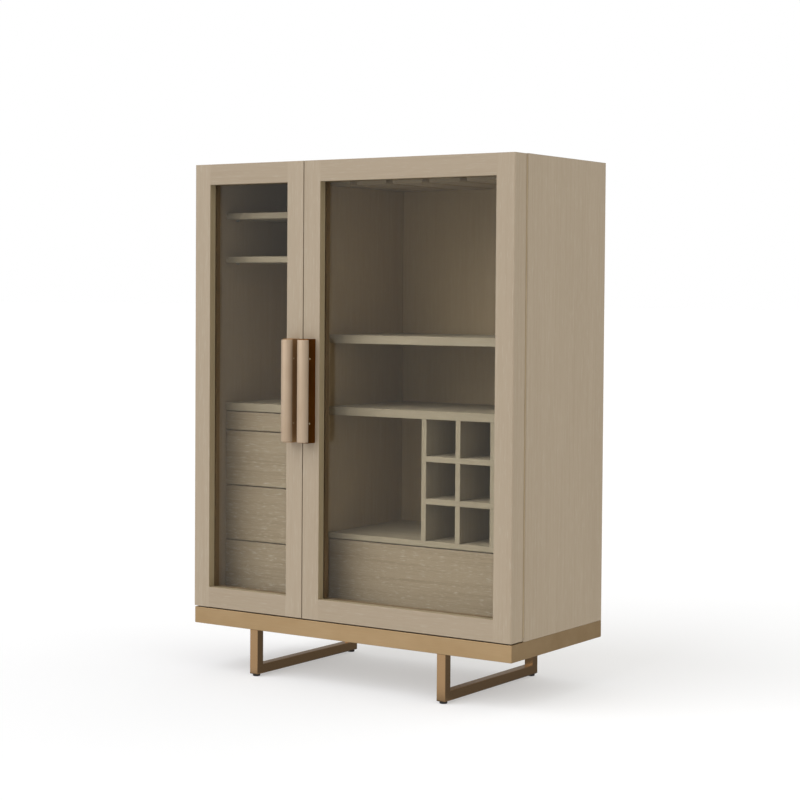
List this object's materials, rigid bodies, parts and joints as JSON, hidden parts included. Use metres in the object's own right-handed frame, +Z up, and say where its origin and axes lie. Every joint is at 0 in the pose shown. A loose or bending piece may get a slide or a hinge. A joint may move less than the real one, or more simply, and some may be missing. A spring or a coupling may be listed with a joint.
{
  "type": "bar cabinet",
  "caption": "Tall oak bar cabinet with framed smoked-glass doors, half-round pulls, drawers, bottle cubbies and a stemware rack, on a bronze base with sled legs.",
  "frame": {"origin": "on the floor, in the middle of the box round the whole cabinet, pulls included", "axes": "+X to the right seen from the front, +Y to the back, +Z up"},
  "size_m": [1.1, 0.561, 1.5],
  "materials": {
    "oak": "limed oak veneer, matt lacquer",
    "birch": "clear lacquered birch ply",
    "bronze_paint": "satin bronze paint",
    "bronze_pull": "satin light bronze",
    "dark_bronze": "dark bronze, satin",
    "bronze_hinge": "satin bronze",
    "brass": "polished",
    "zinc_steel": "zinc plated",
    "black_plastic": "matt",
    "smoked_glass": "bronze-tinted, clear"
  },
  "bodies": {
    "case": {"base_frame": "bronze_paint", "left_leg": "bronze_paint", "right_leg": "bronze_paint", "glides": "black_plastic", "base_bolts": "zinc_steel", "left_side_panel": "oak", "right_side_panel": "oak", "top_panel": "oak", "bottom_panel": "oak", "divider_panel": "oak", "back_panel": "oak", "left_shelves": "oak", "right_shelves": "oak", "left_deck": "oak", "right_deck": "oak", "shelf_pins": "zinc_steel", "cubby_uprights": "oak", "cubby_shelves": "oak", "stemware_slats": "oak", "stemware_spacers": "oak", "case_runners": "zinc_steel", "case_hinge_leaves": "bronze_hinge", "hinge_pins": "bronze_hinge", "door_magnets": "zinc_steel"},
    "left_door": {"left_door_hinge_stile": "oak", "left_door_meeting_stile": "oak", "left_door_rails": "oak", "left_door_glass": "smoked_glass", "left_door_beads": "oak", "left_door_hinge_leaf": "bronze_hinge", "left_door_strike": "zinc_steel", "left_pull_bar": "bronze_pull", "left_pull_spine": "dark_bronze", "left_pull_pins": "brass"},
    "right_door": {"right_door_hinge_stile": "oak", "right_door_meeting_stile": "oak", "right_door_rails": "oak", "right_door_glass": "smoked_glass", "right_door_beads": "oak", "right_door_hinge_leaf": "bronze_hinge", "right_door_strike": "zinc_steel", "right_pull_bar": "bronze_pull", "right_pull_spine": "dark_bronze", "right_pull_pins": "brass"},
    "pull_out_tray": {"pull_out_tray_front": "oak", "pull_out_tray_box": "birch", "pull_out_tray_runners": "zinc_steel"},
    "left_drawer_upper": {"left_drawer_upper_front": "oak", "left_drawer_upper_box": "birch", "left_drawer_upper_runners": "zinc_steel"},
    "left_drawer_middle": {"left_drawer_middle_front": "oak", "left_drawer_middle_box": "birch", "left_drawer_middle_runners": "zinc_steel"},
    "left_drawer_lower": {"left_drawer_lower_front": "oak", "left_drawer_lower_box": "birch", "left_drawer_lower_runners": "zinc_steel"},
    "right_drawer": {"right_drawer_front": "oak", "right_drawer_box": "birch", "right_drawer_runners": "zinc_steel"}
  },
  "joints": [
    {"name": "left_door_hinge", "type": "hinge", "parent": "case", "child": "left_door", "pos_m": [-0.5475, -0.161, 0.844], "axis": [0, 0, -1], "range_deg": [0, 110]},
    {"name": "right_door_hinge", "type": "hinge", "parent": "case", "child": "right_door", "pos_m": [0.5475, -0.161, 0.844], "axis": [0, 0, 1], "range_deg": [0, 110]},
    {"name": "pull_out_tray_slide", "type": "slide", "parent": "case", "child": "pull_out_tray", "axis": [0, -1, 0], "range_m": [0, 0.26]},
    {"name": "left_drawer_upper_slide", "type": "slide", "parent": "case", "child": "left_drawer_upper", "axis": [0, -1, 0], "range_m": [0, 0.26]},
    {"name": "left_drawer_middle_slide", "type": "slide", "parent": "case", "child": "left_drawer_middle", "axis": [0, -1, 0], "range_m": [0, 0.26]},
    {"name": "left_drawer_lower_slide", "type": "slide", "parent": "case", "child": "left_drawer_lower", "axis": [0, -1, 0], "range_m": [0, 0.26]},
    {"name": "right_drawer_slide", "type": "slide", "parent": "case", "child": "right_drawer", "axis": [0, -1, 0], "range_m": [0, 0.26]}
  ],
  "couplings": [
    {"joint": "pull_out_tray_slide", "follows": "left_door_hinge", "m_per_rad": 0.09},
    {"joint": "left_drawer_upper_slide", "follows": "left_door_hinge", "m_per_rad": 0.09},
    {"joint": "left_drawer_middle_slide", "follows": "left_door_hinge", "m_per_rad": 0.09},
    {"joint": "left_drawer_lower_slide", "follows": "left_door_hinge", "m_per_rad": 0.09},
    {"joint": "right_drawer_slide", "follows": "right_door_hinge", "m_per_rad": 0.09}
  ]
}
